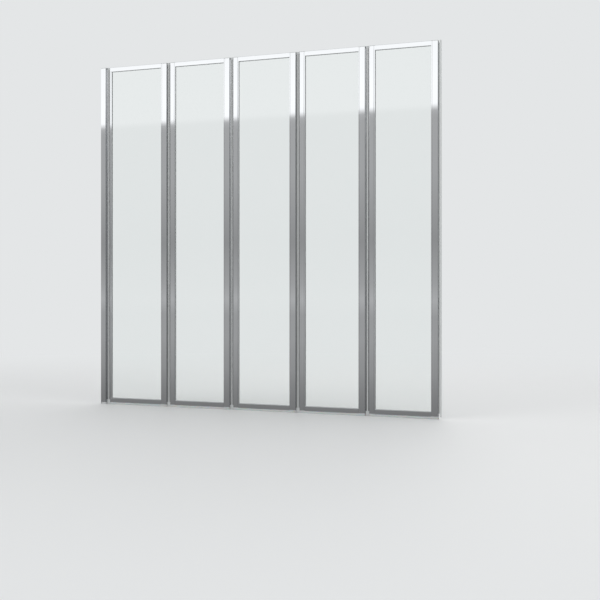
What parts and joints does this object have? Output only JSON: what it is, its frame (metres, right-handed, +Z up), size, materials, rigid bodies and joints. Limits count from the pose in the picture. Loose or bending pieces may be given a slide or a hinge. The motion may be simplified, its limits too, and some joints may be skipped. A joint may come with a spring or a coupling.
{
  "type": "folding bath screen",
  "caption": "Folding bath screen: framed clear glass panels that fold as a concertina on double-acting hinge strips from a wall profile, with wiper seals along the foot",
  "frame": {"origin": "on the wall plane, at the level of the bath rim, in the middle plane of the glass", "axes": "X runs along the screen away from the wall, Y points into the bath, Z up"},
  "size_m": [1.5, 0.022, 1.4],
  "materials": {
    "aluminium": "polished, bright anodised",
    "glass": "clear toughened glass",
    "hinge_strip": "light grey hard vinyl, satin",
    "caps": "grey moulded plastic, fine grain",
    "gasket": "grey glazing rubber",
    "seal": "translucent light grey soft vinyl",
    "screws": "stainless steel"
  },
  "bodies": {
    "wall": {"wall_channel": "aluminium", "adjusting_profile": "aluminium", "adjusting_screws": "screws", "channel_caps": "caps"},
    "panel_1": {"panel_1_left_stile": "aluminium", "panel_1_right_stile": "aluminium", "panel_1_top_rail": "aluminium", "panel_1_bottom_rail": "aluminium", "panel_1_glass": "glass", "panel_1_gasket": "gasket", "panel_1_bottom_seal": "seal", "panel_1_corner_screws": "screws", "panel_1_stile_caps": "caps"},
    "panel_2": {"panel_2_left_stile": "aluminium", "panel_2_right_stile": "aluminium", "panel_2_top_rail": "aluminium", "panel_2_bottom_rail": "aluminium", "panel_2_glass": "glass", "panel_2_gasket": "gasket", "panel_2_bottom_seal": "seal", "panel_2_corner_screws": "screws", "panel_2_stile_caps": "caps"},
    "panel_3": {"panel_3_left_stile": "aluminium", "panel_3_right_stile": "aluminium", "panel_3_top_rail": "aluminium", "panel_3_bottom_rail": "aluminium", "panel_3_glass": "glass", "panel_3_gasket": "gasket", "panel_3_bottom_seal": "seal", "panel_3_corner_screws": "screws", "panel_3_stile_caps": "caps"},
    "panel_4": {"panel_4_left_stile": "aluminium", "panel_4_right_stile": "aluminium", "panel_4_top_rail": "aluminium", "panel_4_bottom_rail": "aluminium", "panel_4_glass": "glass", "panel_4_gasket": "gasket", "panel_4_bottom_seal": "seal", "panel_4_corner_screws": "screws", "panel_4_stile_caps": "caps"},
    "panel_5": {"panel_5_left_stile": "aluminium", "panel_5_right_stile": "aluminium", "panel_5_top_rail": "aluminium", "panel_5_bottom_rail": "aluminium", "panel_5_glass": "glass", "panel_5_gasket": "gasket", "panel_5_bottom_seal": "seal", "panel_5_corner_screws": "screws", "panel_5_stile_caps": "caps", "end_strip": "hinge_strip"},
    "link_0": {"hinge_0_strip": "hinge_strip", "hinge_0_caps": "caps"},
    "link_1": {"hinge_1_strip": "hinge_strip", "hinge_1_caps": "caps"},
    "link_2": {"hinge_2_strip": "hinge_strip", "hinge_2_caps": "caps"},
    "link_3": {"hinge_3_strip": "hinge_strip", "hinge_3_caps": "caps"},
    "link_4": {"hinge_4_strip": "hinge_strip", "hinge_4_caps": "caps"}
  },
  "joints": [
    {"name": "hinge_0_inner", "type": "hinge", "parent": "wall", "child": "link_0", "pos_m": [0.0267, 0, 0.704], "axis": [0, 0, 1], "range_deg": [0, 45]},
    {"name": "hinge_0_outer", "type": "hinge", "parent": "link_0", "child": "panel_1", "pos_m": [0.0395, 0, 0.704], "axis": [0, 0, 1], "range_deg": [0, 45]},
    {"name": "hinge_1_inner", "type": "hinge", "parent": "panel_1", "child": "link_1", "pos_m": [0.3195, 0, 0.704], "axis": [0, 0, -1], "range_deg": [0, 90]},
    {"name": "hinge_1_outer", "type": "hinge", "parent": "link_1", "child": "panel_2", "pos_m": [0.3323, 0, 0.704], "axis": [0, 0, -1], "range_deg": [0, 90]},
    {"name": "hinge_2_inner", "type": "hinge", "parent": "panel_2", "child": "link_2", "pos_m": [0.6123, 0, 0.704], "axis": [0, 0, 1], "range_deg": [0, 90]},
    {"name": "hinge_2_outer", "type": "hinge", "parent": "link_2", "child": "panel_3", "pos_m": [0.6251, 0, 0.704], "axis": [0, 0, 1], "range_deg": [0, 90]},
    {"name": "hinge_3_inner", "type": "hinge", "parent": "panel_3", "child": "link_3", "pos_m": [0.9051, 0, 0.704], "axis": [0, 0, -1], "range_deg": [0, 90]},
    {"name": "hinge_3_outer", "type": "hinge", "parent": "link_3", "child": "panel_4", "pos_m": [0.9179, 0, 0.704], "axis": [0, 0, -1], "range_deg": [0, 90]},
    {"name": "hinge_4_inner", "type": "hinge", "parent": "panel_4", "child": "link_4", "pos_m": [1.1979, 0, 0.704], "axis": [0, 0, 1], "range_deg": [0, 90]},
    {"name": "hinge_4_outer", "type": "hinge", "parent": "link_4", "child": "panel_5", "pos_m": [1.2107, 0, 0.704], "axis": [0, 0, 1], "range_deg": [0, 90]}
  ],
  "couplings": [
    {"joint": "hinge_0_outer", "follows": "hinge_0_inner", "ratio": 1},
    {"joint": "hinge_2_inner", "follows": "hinge_1_inner", "ratio": 1},
    {"joint": "hinge_3_inner", "follows": "hinge_1_inner", "ratio": 1},
    {"joint": "hinge_4_inner", "follows": "hinge_1_inner", "ratio": 1},
    {"joint": "hinge_2_outer", "follows": "hinge_1_outer", "ratio": 1},
    {"joint": "hinge_3_outer", "follows": "hinge_1_outer", "ratio": 1},
    {"joint": "hinge_4_outer", "follows": "hinge_1_outer", "ratio": 1}
  ]
}
